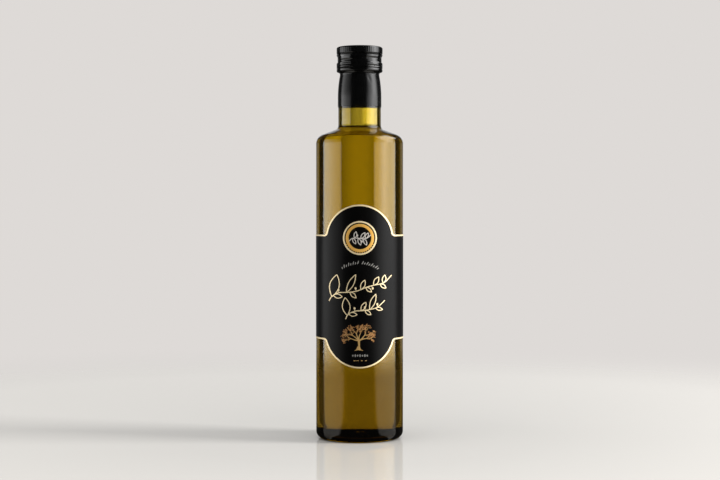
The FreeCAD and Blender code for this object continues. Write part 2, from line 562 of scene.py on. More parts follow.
@dataclass(frozen=True)
class HonedFloor:
    """A pale honed worktop, plain, that mirrors a little and fades into the backdrop far out.

    What the bottle mirrors of it is painted reflection, dark in front and pale to the sides, so that
    the highlights run down to the foot. What is seen of it through the bottle is painted light and
    shade: a brighter beam and dark edges. Round the foot lies a painted contact shadow, and far out the
    camera sees it painted paler, where the softboxes light it less. Bearings are in degrees from
    straight behind.
    """

    name: str = "worktop_pale_honed"
    pale: str = "#c0bdb8"
    # Painted light: the floor seen by the camera goes from pale to paler far out, where the softboxes light
    # it less.
    paler: str = "#d2cec8"
    # Painted light and shade seen through the bottle: this colour, brighter in a beam and near black at the
    # edges by bearing (beam, edge, rest).
    through: str = "#9a948a"
    # Painted reflection: what gloss sees of the floor, dark in front and pale to the sides (side, front),
    # which paints the bottle's lower highlights.
    mirrored: str = "#2b2926"
    painted_reflection_side: str = "#bab6af"
    # Painted contact shadow: near black close round the foot.
    painted_contact_shadow: str = "#0c0b0a"
    crossing_m: Point = (0.0, 0.041)
    mirror_at_m: Point = (0.02, -0.019)
    paling_m: Ease = Ease(0.12, 0.42)
    painted_contact_shadow_m: Ease = Ease(0.022, 0.029)
    fading_m: Ease = Ease(0.36, 0.75)
    painted_beam: Ease = Ease(10, 14, 0.78, 1.1)
    edge: Ease = Ease(39.5, 41.5, 1.0, 0.2)
    rest: Ease = Ease(56, 64, 0.0, 0.85)
    side: Ease = Ease(66, 72)
    front: Ease = Ease(143, 134)
    rough: float = 0.04
    polish: float = 0.04

    def bearing(self, tree: Tree, place: Socket, about: Point) -> Node:
        """Adds the bearing of a place on the floor, alike on the bottle's left and right.

        Args:
            tree: The material's node tree.
            place: The place's output.
            about: What it is the bearing from: how far to either side and behind, in metres.

        Returns:
            The node that gives it, in degrees.
        """
        spot = add_node(tree, "SeparateXYZ", {0: place}).outputs
        aside = add_node(tree, "Math", {0: spot["X"]}, operation="ABSOLUTE")
        aside = add_node(tree, "Math", {0: aside, 1: about[0]}, operation="SUBTRACT")
        behind = add_node(tree, "Math", {0: spot["Y"], 1: about[1]}, operation="SUBTRACT")
        turn = add_node(tree, "Math", {0: aside, 1: behind}, operation="ARCTAN2")
        return add_node(tree, "Math", {0: turn}, operation="DEGREES")

    def shade(self, tree: Tree, place: Socket, away: Node, path: Sockets) -> Node:
        """Adds the floor's colour for each way that it can be looked at: painted reflection for gloss,
        painted light and shade for what is seen through the bottle, a painted contact shadow round the foot,
        and painted paler far out for the camera.

        Args:
            tree: The material's node tree.
            place: The output that gives the place on the floor.
            away: The node that gives its distance from the bottle's axis.
            path: The outputs that say what kind of ray looks.

        Returns:
            The node that gives the colour.
        """
        # Painted light and shade seen through the bottle: a brighter beam, dark edges and a dimmer rest, by
        # bearing.
        crossing = self.bearing(tree, place, self.crossing_m)
        painted_beam, edge, rest = (
            add_node(tree, "MapRange", ease.sockets(crossing)) for ease in (self.painted_beam, self.edge, self.rest)
        )
        edge = add_node(tree, "Math", {0: edge, 1: rest}, operation="MAXIMUM")
        painted_beam = add_node(tree, "Math", {0: painted_beam, 1: edge}, operation="MULTIPLY")
        through = add_node(
            tree, "VectorMath", {0: linear(self.through)[:3], "Scale": painted_beam}, operation="SCALE"
        )
        # Painted reflection: pale to the sides and dark in front, for what gloss sees.
        mirroring = self.bearing(tree, place, self.mirror_at_m)
        side, front = (
            add_node(tree, "MapRange", ease.sockets(mirroring)) for ease in (self.side, self.front)
        )
        side = add_node(tree, "Math", {0: side, 1: front}, operation="MULTIPLY")
        paling, painted_contact_shadow = (
            add_node(tree, "MapRange", ease.sockets(away)) for ease in (self.paling_m, self.painted_contact_shadow_m)
        )
        # Painted light: paler far out, where the softboxes light the floor less.
        seen = {"Factor": paling, "A": linear(self.pale), "B": linear(self.paler)}
        seen = add_node(tree, "Mix", seen, data_type="RGBA")
        shade = linear(self.mirrored)
        for share, over in (
            (side, linear(self.painted_reflection_side)),
            (path["Is Transmission Ray"], through),
            (path["Is Camera Ray"], seen),
        ):
            shade = add_node(tree, "Mix", {"Factor": share, "A": shade, "B": over}, data_type="RGBA")
        # Painted contact shadow: the floor goes near black close round the foot, on every ray.
        shade = {"Factor": painted_contact_shadow, "A": linear(self.painted_contact_shadow), "B": shade}
        return add_node(tree, "Mix", shade, data_type="RGBA")

    def make(self) -> Material:
        """Builds the material.

        Returns:
            The material.
        """
        material, tree = new_material(self.name)
        place = add_node(tree, "TexCoord").outputs["Object"]
        away = add_node(tree, "VectorMath", {0: place}, operation="LENGTH")
        path = add_node(tree, "LightPath").outputs
        polish = add_node(tree, "Math", {0: path["Is Camera Ray"], 1: self.polish}, operation="MULTIPLY")
        slab = {"Base Color": self.shade(tree, place, away, path), "Specular IOR Level": polish}
        slab = add_node(tree, "BsdfPrincipled", slab | {"Roughness": self.rough})
        clear = add_node(tree, "BsdfTransparent")
        fade = self.fading_m.sockets(away)
        fade = add_node(tree, "MapRange", fade, interpolation_type="SMOOTHSTEP")
        top = add_node(tree, "MixShader", {0: fade, 1: slab, 2: clear})
        add_node(tree, "OutputMaterial", {"Surface": top})
        return material


# ---------------------------------------------------------------- what the frame says


@dataclass(frozen=True)
class Span:
    """A CAD node's reach: its widest radius, and its lowest and highest height, in millimetres."""

    radius: float
    low: float
    high: float

    @classmethod
    def of(cls, node: str) -> "Span":
        """Reads the node's box from the frame."""
        low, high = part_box(node)
        return cls(high.x / MM, low.z / MM, high.z / MM)


def finish_piece(piece: Piece, material: Material, replaced: str | None = None) -> Piece:
    """Dresses a piece, fixes it to the bottle and reports it.

    Args:
        piece: The finished piece.
        material: What it is dressed in.
        replaced: The CAD node that it stands for, if it does.

    Returns:
        The piece.
    """
    dress(piece, material)
    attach(piece, BODY)
    if replaced:
        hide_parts(replaced)
    LOG.info("%s: %d faces", piece.name, len(piece.data.polygons))
    return piece


# ---------------------------------------------------------------- glass and oil


@dataclass
class GlassBottle:
    """The glass: foot ring round a punt, straight wall, sloped shoulder, neck and plain finish."""

    glass: Span = field(default_factory=lambda: Span.of("glass_bottle"))
    oil: Span = field(default_factory=lambda: Span.of("olive_oil"))
    cap: Span = field(default_factory=lambda: Span.of("screw_cap"))
    heel_radius: float = 5.0
    foot_ring: float = 2.4
    punt: float = 3.2
    inner_heel: float = 4.5
    inner_dome: float = 1.9
    shoulder_start: float = 202.4
    shoulder_radius: float = 6.5
    slope_deg: float = 20.0
    neck_radius: float = 14.6
    neck_wall: float = 4.0
    neck_fillet: float = 3.4
    inner_fillet: float = 4.9
    taper_start: float = 234.0
    taper_radius: float = 81.0
    waist: float = 249.0
    mouth_radius: float = 9.6
    finish_radius: float = 13.9
    rim_chamfer: float = 0.6
    segments: int = 256
    floor_facing: float = 0.5

    def waist_deg(self) -> float:
        """How far the neck's taper arc has turned at the waist."""
        return math.degrees(math.asin((self.waist - self.taper_start) / self.taper_radius))

    def shoulder(self, line: Outline, grow: float, corner: float, neck: float, fillet: float) -> Outline:
        """Carries a wall over the shoulder into the neck: corner arc, slope and fillet.

        Args:
            line: The outline, on the wall at the shoulder's start.
            grow: How far the line is moved out of the true wall, in millimetres.
            corner: The true wall's corner radius.
            neck: The true neck's radius.
            fillet: The true fillet's radius.

        Returns:
            The outline, at the foot of the neck.
        """
        slope = math.radians(self.slope_deg)
        centre = (self.glass.radius - self.shoulder_radius, self.shoulder_start)
        true_r = centre[0] + corner * math.sin(slope)
        true_z = centre[1] + corner * math.cos(slope)
        foot_r = neck + fillet * (1 - math.sin(slope))
        foot_z = true_z + (true_r - foot_r) * math.tan(slope)
        fillet_centre = (neck + fillet, foot_z + fillet * math.cos(slope))
        line.arc(centre, corner + grow, 0, 90 - self.slope_deg)
        tight = fillet - grow
        line.run(neck + fillet - tight * math.sin(slope), fillet_centre[1] - tight * math.cos(slope))
        return line.arc(fillet_centre, tight, 270 - self.slope_deg, 180)

    def inside(self, grow: float = 0.0) -> Outline:
        """The inside of the glass from the middle of its floor up to the foot of the neck.

        Args:
            grow: How far the line is moved into the glass, in millimetres.

        Returns:
            The outline.
        """
        floor_radius = self.oil.radius - self.inner_heel
        floor = self.oil.low - grow
        line = Outline(0, floor + self.inner_dome)
        line.dome(floor + self.inner_dome, self.inner_dome, floor_radius)
        line.arc((floor_radius, self.oil.low + self.inner_heel), self.inner_heel + grow, 270, 360)
        line.run(self.oil.radius + grow, self.shoulder_start)
        corner = self.shoulder_radius - (self.glass.radius - self.oil.radius)
        neck = self.neck_radius - self.neck_wall
        return self.shoulder(line, grow, corner, neck, self.inner_fillet)

    def outside(self) -> Outline:
        """The outside of the glass from the middle of the punt up over the rim.

        Returns:
            The outline.
        """
        ring = self.glass.radius - self.heel_radius
        line = Outline(0, self.punt).dome(self.punt, self.punt, ring - self.foot_ring)
        line.run(ring, 0).arc((ring, self.heel_radius), self.heel_radius, 270, 360)
        line.run(self.glass.radius, self.shoulder_start)
        self.shoulder(line, 0, self.shoulder_radius, self.neck_radius, self.neck_fillet)
        line.run(self.neck_radius, self.taper_start)
        centre = (self.neck_radius - self.taper_radius, self.taper_start)
        line.arc(centre, self.taper_radius, 0, self.waist_deg())
        line.run(line.points[-1][0], self.cap.low)
        line.run(self.finish_radius, self.cap.low + self.rim_chamfer)
        line.run(self.finish_radius, self.glass.high - self.rim_chamfer)
        return line.run(self.finish_radius - self.rim_chamfer, self.glass.high)

    def mark_wetted(self, piece: Piece) -> None:
        """Writes where oil wets the glass: faces that look inwards, below the oil's level.

        Args:
            piece: The glass.
        """
        level, floor_zone = self.oil.high * MM, (self.oil.low + self.inner_dome + self.inner_heel) * MM
        mark = piece.data.attributes.new(MouldedGlass.wetted, "FLOAT", "POINT")
        for point in piece.data.vertices:
            outwards = Vector((point.co.x, point.co.y, 0)).dot(point.normal)
            floor = point.co.z < floor_zone and point.normal.z > self.floor_facing
            if point.co.z < level and (floor or outwards < 0):
                mark.data[point.index].value = 1.0

    def build(self) -> Piece:
        """Turns the glass, inside and outside in one outline, and dresses it.

        Returns:
            The piece.
        """
        inside = self.inside()
        inside.run(inside.points[-1][0], self.taper_start)
        inside.run(self.mouth_radius, self.waist).run(self.mouth_radius, self.glass.high)
        points = self.outside().points + inside.points[::-1]
        piece = turn_on_lathe("bottle_glass", points, self.segments)
        self.mark_wetted(piece)
        return finish_piece(piece, MouldedGlass().make(), "glass_bottle")


@dataclass
class OilFill:
    """The oil, which reaches just into the glass all round, so that no air shows between them."""

    bottle: GlassBottle
    bite: float = 0.15
    meniscus: float = 0.8

    def build(self) -> Piece:
        """Turns the oil up to its level, with a meniscus, and dresses it.

        Returns:
            The piece.
        """
        level = self.bottle.oil.high
        line = self.bottle.inside(self.bite)
        edge = line.points[-1][0]
        line.run(edge, level)
        line.arc((edge - self.meniscus, level), self.meniscus, 0, -90)
        line.run(0, level - self.meniscus)
        piece = turn_on_lathe("oil_fill", line.points, self.bottle.segments)
        return finish_piece(piece, PressedOil().make(), "olive_oil")


# ---------------------------------------------------------------- cap and sleeve


# The rolled thread as (height, depth) points, with depth from 0 to 1, and the bearings in degrees from
# the front that each of these profiles holds at. Between them the thread blends, as its turns climb.

THREAD_SIDE = ((257.1, 0.0), (258.1, 1.0), (261.3, 1.0), (262.6, 0.2), (263.1, 0.0))
THREAD_LEFT = (
    (254.0, 0.0), (254.3, 0.3), (254.9, 0.3), (256.1, 1.0), (257.5, 0.6), (258.9, 1.0), (260.1, 0.3),
    (262.5, 0.25), (263.1, 0.0),
)
THREAD_RIGHT = (
    (254.4, 0.0), (254.9, 0.7), (255.9, 0.15), (256.8, 0.2), (258.0, 0.6), (260.2, 1.0), (261.4, 0.3),
    (262.5, 0.25), (263.1, 0.0),
)
THREAD_TURNS = ((-90, THREAD_SIDE), (-42, THREAD_LEFT), (42, THREAD_RIGHT), (90, THREAD_SIDE))


def depth_at(profile: Sequence[Point], height: float) -> float:
    """Reads a thread profile's depth at one height, easing between its points.

    Args:
        profile: (height, depth) points, from the lowest up.
        height: The height, in millimetres.

    Returns:
        The depth, from 0 to 1, which is 0 past the profile's ends.
    """
    for (low, start), (high, end) in pairwise(profile):
        if low <= height <= high:
            share = (height - low) / (high - low)
            return start + (end - start) * share * share * (3 - 2 * share)
    return 0.0


@dataclass
class ScrewCap:
    """The rolled aluminium cap: knurled band, bead, rolled thread, tamper line and tucked edge."""

    cap: Span = field(default_factory=lambda: Span.of("screw_cap"))
    bore: float = 14.05
    roof: float = 1.6
    corner: float = 1.2
    edge: float = 1.1
    bead: float = 263.6
    knurl_low: float = 264.4
    knurl_top_gap: float = 0.72
    knurls: int = 60
    knurl_depth: float = 0.08
    thread_depth: float = 0.7
    tamper: float = 253.6
    groove: float = 0.45
    ring_step: float = 0.22
    smooth_under: float = 50

    def outline(self) -> Outline:
        """The cap's closed section: up the outside, over the top and back down the bore.

        Returns:
            The outline.
        """
        r, low, top = self.cap.radius, self.cap.low, self.cap.high
        line = Outline(self.bore, low + self.edge).run(self.bore, low).run(r - self.edge, low)
        line.arc((r - self.edge, low + self.edge), self.edge, 270, 360)
        for ring in (self.tamper, self.bead):
            self.climb(line, ring - self.groove)
            line.run(r - self.groove, ring).run(r, ring + self.groove)
        self.climb(line, top - self.corner)
        line.arc((r - self.corner, top - self.corner), self.corner, 0, 90).run(0, top)
        return line.to((0, top - self.roof), (self.bore, top - self.roof), line.points[0])

    def climb(self, line: Outline, height: float) -> None:
        """Draws the wall up in small steps, so that it can take the knurl and thread.

        Args:
            line: The outline, on the wall.
            height: Where the wall's stretch ends.
        """
        start = line.points[-1][1]
        steps = math.ceil((height - start) / self.ring_step)
        for step in range(1, steps + 1):
            line.to((self.cap.radius, start + (height - start) * step / steps))

    def thread_share(self, place: Vector) -> float:
        """What share of the rolled thread's depth is pressed in at a place.

        Args:
            place: The place, in metres.

        Returns:
            The share, from 0 to 1.
        """
        if place.xy.length <= (self.cap.radius - self.groove) * MM:
            return 0.0
        bearing = max(-90.0, min(90.0, math.degrees(math.atan2(place.x, -place.y))))
        for (start, before), (end, after) in pairwise(THREAD_TURNS):
            if start <= bearing <= end:
                share, height = (bearing - start) / (end - start), place.z / MM
                return (1 - share) * depth_at(before, height) + share * depth_at(after, height)
        return 0.0

    def press_knurls(self, piece: Piece) -> None:
        """Presses the upright grooves into the top band: every fourth column of points moves in.

        Args:
            piece: The cap.
        """
        step, slack = math.tau / self.knurls, 0.05
        top = (self.cap.high - self.knurl_top_gap) * MM

        def in_groove(point: bmesh.types.BMVert) -> bool:
            """Says whether a point is on the band's outside, in a groove's column.

            Args:
                point: The point.

            Returns:
                Whether it is.
            """
            column = math.atan2(point.co.y, point.co.x) / step
            outside = point.co.xy.length > (self.cap.radius - self.corner) * MM
            on_band = self.knurl_low * MM < point.co.z < top
            return outside and on_band and abs(column - round(column)) < slack

        with editing(piece):
            select_points(piece, in_groove)
            inwards = 1 - self.knurl_depth / self.cap.radius
            bpy.ops.transform.resize(value=(inwards, inwards, 1), center_override=(0, 0, 0))

    def build(self) -> Piece:
        """Turns the cap, rolls its thread, presses its knurls and dresses it.

        Returns:
            The piece.
        """
        piece = turn_on_lathe("cap_shell", self.outline().points, 4 * self.knurls)
        press_in(piece, self.thread_depth, self.thread_share)
        self.press_knurls(piece)
        smooth_under(piece, self.smooth_under)
        return finish_piece(piece, CapLacquer().make(), "screw_cap")


@dataclass
class NeckSleeve:
    """The black film shrunk over the neck, drawn in below the cap and flared against its edge.

    Its crease is placed by an angle in degrees, with -90 at the front, and a height, and sized across
    and up.
    """

    bottle: GlassBottle
    sleeve: Span = field(default_factory=lambda: Span.of("neck_sleeve"))
    flare_height: float = 1.1
    flare: float = 0.8
    flare_bow: float = 0.35
    grip: float = 0.02
    strips: int = 8
    segments: int = 192
    crease_at: Point = (-62.0, 246.4)
    crease_size: Point = (1.1, 2.3)
    crease_lean: float = 0.3
    crease_depth: float = 0.16
    crease_least: float = 0.01
    smooth_under: float = 40

    def outline(self) -> Outline:
        """The film's closed section: up the outside and back down against the glass.

        Returns:
            The outline.
        """
        bottle, top = self.bottle, self.sleeve.high
        thick = self.sleeve.radius - bottle.neck_radius
        centre = bottle.neck_radius - bottle.taper_radius
        line = Outline(self.sleeve.radius, self.sleeve.low).run(self.sleeve.radius, bottle.taper_start)
        share = bottle.waist_deg() / self.strips
        for strip in range(self.strips):
            ends = strip * share, (strip + 1) * share
            line.arc((centre + thick, bottle.taper_start), bottle.taper_radius, *ends)
        waist = line.points[-1][0]
        line.to(
            (waist, top - self.flare_height),
            (waist + self.flare * self.flare_bow, top - self.flare_height / 2),
            (waist + self.flare, top),
            (waist - thick - self.grip, top),
            (waist - thick - self.grip, bottle.waist),
        )
        line.arc((centre - self.grip, bottle.taper_start), bottle.taper_radius, bottle.waist_deg(), 0)
        line.run(bottle.neck_radius - self.grip, self.sleeve.low)
        return line.to(line.points[0])

    def crease_share(self, place: Vector) -> float:
        """What share of the crease's depth is pressed in at a place.

        Args:
            place: The place, in metres.

        Returns:
            The share, from 0 to 1, which is 0 on the film's inside and past the taper.
        """
        bottle = self.bottle
        rise = place.z / MM - bottle.taper_start
        if not 0 < rise < bottle.waist - bottle.taper_start:
            return 0.0
        drop = bottle.taper_radius - math.sqrt(bottle.taper_radius**2 - rise**2)
        glass = bottle.neck_radius - drop
        if place.xy.length / MM < (glass + self.sleeve.radius - drop) / 2:
            return 0.0
        turn = math.atan2(place.y, place.x) - math.radians(self.crease_at[0])
        up = place.z / MM - self.crease_at[1]
        across = turn * self.sleeve.radius + up * self.crease_lean
        share = math.exp(-((across / self.crease_size[0]) ** 2) - (up / self.crease_size[1]) ** 2)
        return share if share > self.crease_least else 0.0

    def build(self) -> Piece:
        """Turns the film, creases it and dresses it.

        Returns:
            The piece.
        """
        piece = turn_on_lathe("sleeve_film", self.outline().points, self.segments)
        press_in(piece, self.crease_depth, self.crease_share)
        smooth_under(piece, self.smooth_under)
        return finish_piece(piece, ShrinkFilm().make(), "neck_sleeve")


# ---------------------------------------------------------------- label and foil print


class Laying(Enum):
    """How a flat drawing's width is laid on the body."""

    ROLLED = "its width follows the surface"
    SEEN = "its width is the one seen from the front"


def lay_round(piece: Piece, radius: float, laying: Laying) -> None:
    """Lays a flat piece, drawn across X and up Z with its face to -Y, round the upright axis.

    Args:
        piece: The flat piece.
        radius: The radius, in millimetres, that its Y = 0 goes to.
        laying: What its width means.
    """
    base = radius * MM
    for point in piece.data.vertices:
        across, depth, up = point.co
        angle = across / base if laying is Laying.ROLLED else math.asin(across / base)
        reach = base - depth
        point.co = (reach * math.sin(angle), -reach * math.cos(angle), up)


def cut_columns(reach: float, width: float) -> None:
    """Cuts the sheet in edit mode into upright columns, so that it can bend.

    Args:
        reach: How far the sheet goes to either side, in millimetres.
        width: A column's width.
    """
    columns = math.ceil(reach / width)
    for column in range(1 - columns, columns):
        bpy.ops.mesh.select_all(action="SELECT")
        place = (column * reach / columns * MM, 0, 0)
        bpy.ops.mesh.bisect(plane_co=place, plane_no=(1, 0, 0))


@dataclass(frozen=True)
class Arch:
    """One long edge of the label: a round arch in the middle of a straight line."""

    radius: float
    centre: float
    line: float
    side: int
    fillet: float = 1.5

    def contour(self, inset: float, body: float, end: float) -> list[Point]:
        """Draws the edge from one back end of the label to the other.

        Args:
            inset: How far inside the label's edge the line runs, in millimetres.
            body: The radius of the surface it's rolled on.
            end: Where the line stops on either side, along the surface.

        Returns:
            (along, up) points, with the arch's width already unrolled.
        """
        centre, line = self.centre * self.side, self.line * self.side
        lift = line + self.fillet - centre
        across = math.sqrt((self.radius + self.fillet) ** 2 - lift**2)
        meet = math.degrees(math.atan2(lift, across))
        half = Outline(0, centre + self.radius - inset)
        half.arc((0, centre), self.radius - inset, 90, meet)
        half.arc((across, line + self.fillet), self.fillet + inset, 180 + meet, 270)
        right = [(body * math.asin(x / body), up * self.side) for x, up in half.points]
        right.append((end, (line - inset) * self.side))
        return [(-x, up) for x, up in reversed(right[1:])] + right


@dataclass
class Label:
    """The black paper label and the two foil lines that edge it."""

    paper: Span = field(default_factory=lambda: Span.of("label"))
    glass: Span = field(default_factory=lambda: Span.of("glass_bottle"))
    top: Arch = Arch(22.8, 137.6, 140.1, 1)
    bottom: Arch = Arch(23.7, 74.3, 69.1, -1)
    back_gap: float = 7.0
    column: float = 1.5
    grip: float = 0.02
    edging: float = 1.05
    margin: float = 0.04
    foil: float = 0.05
    smooth_under: float = 35

    def end(self) -> float:
        """How far the paper reaches to either side, along the surface."""
        return math.pi * self.paper.radius - self.back_gap / 2

    def thicken(self, piece: Piece, thick: float) -> None:
        """Gives a rolled sheet its thickness, inwards, and smooths it.

        Args:
            piece: The sheet, at its outer radius.
            thick: The thickness, in millimetres.
        """
        with editing(piece):
            bpy.ops.mesh.normals_make_consistent(inside=False)
        front = min(piece.data.polygons, key=lambda face: face.center.y)
        inwards = -1.0 if front.normal.y < 0 else 1.0
        apply_modifier(piece, "SOLIDIFY", thickness=thick * MM, offset=inwards, use_even_offset=True)
        close_up(piece, 0.0005)
        smooth_under(piece, self.smooth_under)

    def build_paper(self) -> Piece:
        """Cuts the paper flat, rolls it round the body and gives it its thickness.

        Returns:
            The piece.
        """
        radius, end = self.paper.radius, self.end()
        over, under = (arch.contour(0, radius, end) for arch in (self.top, self.bottom))
        piece = draw_lines("label_paper", over + under[::-1] + over[:1])
        with editing(piece):
            bpy.ops.mesh.remove_doubles(threshold=0.001 * MM)
            bpy.ops.mesh.edge_face_add()
            cut_columns(end, self.column)
        lay_round(piece, radius, Laying.ROLLED)
        self.thicken(piece, radius - self.glass.radius + self.grip)
        return finish_piece(piece, CoatedPaper().make(), "label")

    def build_edging(self, name: str, arch: Arch, foil: Material) -> Piece:
        """Stamps the foil line along one edge.

        Args:
            name: The new piece's name.
            arch: The edge.
            foil: What the line is dressed in.

        Returns:
            The foil line.
        """
        radius, end = self.paper.radius, self.end() - self.margin
        piece = draw_lines(name, *(arch.contour(inset, radius, end) for inset in (self.margin, self.edging)))
        with editing(piece):
            bpy.ops.mesh.bridge_edge_loops()
            cut_columns(end, self.column)
        lay_round(piece, radius, Laying.ROLLED)
        with editing(piece):
            rise = 1 + self.foil / radius
            bpy.ops.transform.resize(value=(rise, rise, 1), center_override=(0, 0, 0))
        self.thicken(piece, 2 * self.foil)
        return finish_piece(piece, foil)


def swell(share: float, trim: float, blunt: float) -> float:
    """How wide a leaf is along its length: half a sine wave, cut short at both ends.

    Args:
        share: How far along the leaf, from 0 to 1.
        trim: How much of the wave is cut off at either end.
        blunt: The power that it is raised to, under 1 for blunt ends.

    Returns:
        The width, from 0 to 1.
    """
    return math.sin(math.pi * (trim + (1 - 2 * trim) * share)) ** blunt


@dataclass
class Pen:
    """Draws foil print as strokes, in (across, up) millimetres as seen from the front."""

    strokes: list[tuple[list[Point], list[float], bool]] = field(default_factory=list)
    leaf_steps: int = 24
    blade_steps: int = 8
    ring_steps: int = 96
    hairline: float = 0.02
    foil: float = 0.05
    smooth_under: float = 60

    def line(self, points: Sequence[Point], widths: Sequence[float], closed: bool = False) -> None:
        """Adds one stroke.

        Args:
            points: Its points.
            widths: Its widths, spread evenly over the points.
            closed: Whether it runs back to its start.
        """
        spread = []
        for number in range(len(points)):
            at = number / max(1, len(points) - 1) * (len(widths) - 1)
            low = max(0, min(int(at), len(widths) - 2))
            high = min(low + 1, len(widths) - 1)
            spread.append(widths[low] + (widths[high] - widths[low]) * (at - low))
        self.strokes.append((list(points), spread, closed))

    def curve(self, knots: Sequence[Point], widths: Sequence[float]) -> list[Point]:
        """Adds one smooth stroke through some knots.

        Args:
            knots: The points that it passes.
            widths: Its widths, spread evenly.

        Returns:
            The stroke's points.
        """
        points = smooth_through(knots)
        self.line(points, widths)
        return points

    def leaf(self, base: Point, angle: float, length: float, width: float, line: float) -> None:
        """Adds an almond leaf in outline.

        Args:
            base: Where the leaf starts.
            angle: Which way it points, in degrees.
            length: Its length.
            width: Its width.
            line: The outline's width.
        """
        turn = Matrix.Rotation(math.radians(angle), 2)
        rim = []
        for step in range(self.leaf_steps):
            way = math.tau * step / self.leaf_steps
            along = (1 - math.cos(way)) / 2
            across = math.sin(way) * swell(along, 0.05, 0.6)
            rim.append(tuple(Vector(base) + turn @ Vector((length * along, width / 2 * across))))
        self.line(rim, [line], closed=True)

    def blade(self, base: Point, angle: float, length: float, width: float) -> None:
        """Adds a solid leaf: a stroke that swells and closes.

        Args:
            base: Where the leaf starts.
            angle: Which way it points, in degrees.
            length: Its length.
            width: Its greatest width.
        """
        shares = [step / self.blade_steps for step in range(self.blade_steps + 1)]
        points = [polar(base, length * share, angle) for share in shares]
        self.line(points, [max(self.hairline, width * swell(share, 0.06, 0.8)) for share in shares])

    def ring(self, centre: Point, inner: float, outer: float) -> None:
        """Adds a round band.

        Args:
            centre: Its centre.
            inner: Its inner radius.
            outer: Its outer radius.
        """
        turns = (360 * step / self.ring_steps for step in range(self.ring_steps))
        rim = [polar(centre, (inner + outer) / 2, turn) for turn in turns]
        self.line(rim, [outer - inner], closed=True)

    def dot(self, centre: Point, size: float, tall: float = 1.0) -> None:
        """Adds a solid round or oval dot.

        Args:
            centre: Its centre.
            size: Its width.
            tall: Its height as a share of its width.
        """
        turns = [math.pi * step / self.blade_steps for step in range(self.blade_steps + 1)]
        points = [(centre[0], centre[1] - size * tall / 2 * math.cos(turn)) for turn in turns]
        self.line(points, [max(self.hairline, size * math.sin(turn)) for turn in turns])

    def stamp(self, name: str, foil: Material, paper: float) -> Piece:
        """Makes all strokes one piece of foil on the paper.

        Args:
            name: The new piece's name.
            foil: What it is dressed in.
            paper: The paper's radius, in millimetres.

        Returns:
            The piece.
        """
        clear_selection()
        drawing = bpy.data.curves.new(name, "CURVE")
        drawing.dimensions = "3D"
        drawing.bevel_depth = 0.5 * MM  # so that a knot's radius is its stroke's width in millimetres
        drawing.bevel_resolution = 2
        drawing.use_fill_caps = True
        drawing.twist_mode = "MINIMUM"
        for points, widths, closed in self.strokes:
            spline = drawing.splines.new("POLY")
            spline.points.add(len(points) - 1)
            spline.use_cyclic_u = closed
            for knot, (across, up), width in zip(spline.points, points, widths):
                knot.co = (across * MM, 0, up * MM, 1)
                knot.radius = width
        piece = bpy.data.objects.new(name, drawing)
        bpy.context.scene.collection.objects.link(piece)
        hold(piece)
        bpy.ops.object.convert(target="MESH")
        piece = named(name)
        widest = max(max(widths) for _, widths, _ in self.strokes)
        with editing(piece):
            flatter = 2 * self.foil / widest
            bpy.ops.transform.resize(value=(1, flatter, 1), center_override=(0, 0, 0))
        lay_round(piece, paper, Laying.SEEN)
        close_up(piece, 0.0002)
        smooth_under(piece, self.smooth_under)
        return finish_piece(piece, foil)


def smooth_through(knots: Sequence[Point], steps: int = 8) -> list[Point]:
    """Draws a smooth line through knots.

    Args:
        knots: The points that it passes.
        steps: How many pieces each stretch is cut into.

    Returns:
        The line's points.
    """
    padded = [Vector(knots[0]) * 2 - Vector(knots[1]), *map(Vector, knots)]
    padded.append(Vector(knots[-1]) * 2 - Vector(knots[-2]))
    line = []
    for a, b, c, d in zip(padded, padded[1:], padded[2:], padded[3:]):
        for step in range(steps):
            t = step / steps
            spot = b + (c - a) * (t / 2) + (2 * a - 5 * b + 4 * c - d) * (t * t / 2)
            line.append(tuple(spot + (3 * b - a - 3 * c + d) * (t**3 / 2)))
    return [*line, tuple(knots[-1])]


@dataclass(frozen=True)
class Sprig:
    """An olive branch drawn in one line width, with leaves in outline and a few olives.

    A leaf is its place along the stem, its lean off the stem in degrees, its length and its width. An
    olive is its place and its stalk's lean.
    """

    stem: tuple[Point, ...]
    leaves: tuple[tuple[float, float, float, float], ...]
    olives: tuple[tuple[float, float], ...]
    line: float = 0.6
    olive: float = 1.4
    stalk: float = 1.9
    stalk_thin: float = 0.7
    olive_tall: float = 1.2

    def draw(self, pen: Pen) -> None:
        """Draws the branch.

        Args:
            pen: What it is drawn with.
        """
        points = pen.curve(self.stem, [self.line])
        for share, lean, length, width in self.leaves:
            base, heading = self.at(points, share)
            pen.leaf(base, heading + lean, length, width, self.line)
        for share, lean in self.olives:
            base, heading = self.at(points, share)
            tip = polar(base, self.stalk, heading + lean)
            pen.line([base, tip], [self.line * self.stalk_thin])
            pen.dot(tip, self.olive, self.olive_tall)

    def at(self, points: Sequence[Point], share: float) -> tuple[Point, float]:
        """Finds a place on the stem, and which way the stem runs there.

        Args:
            points: The stem's points.
            share: How far along the stem, from 0 to 1.

        Returns:
            The place, and the direction in degrees.
        """
        number = min(len(points) - 2, int(share * (len(points) - 1)))
        here, there = points[number], points[number + 1]
        return here, math.degrees(math.atan2(there[1] - here[1], there[0] - here[0]))


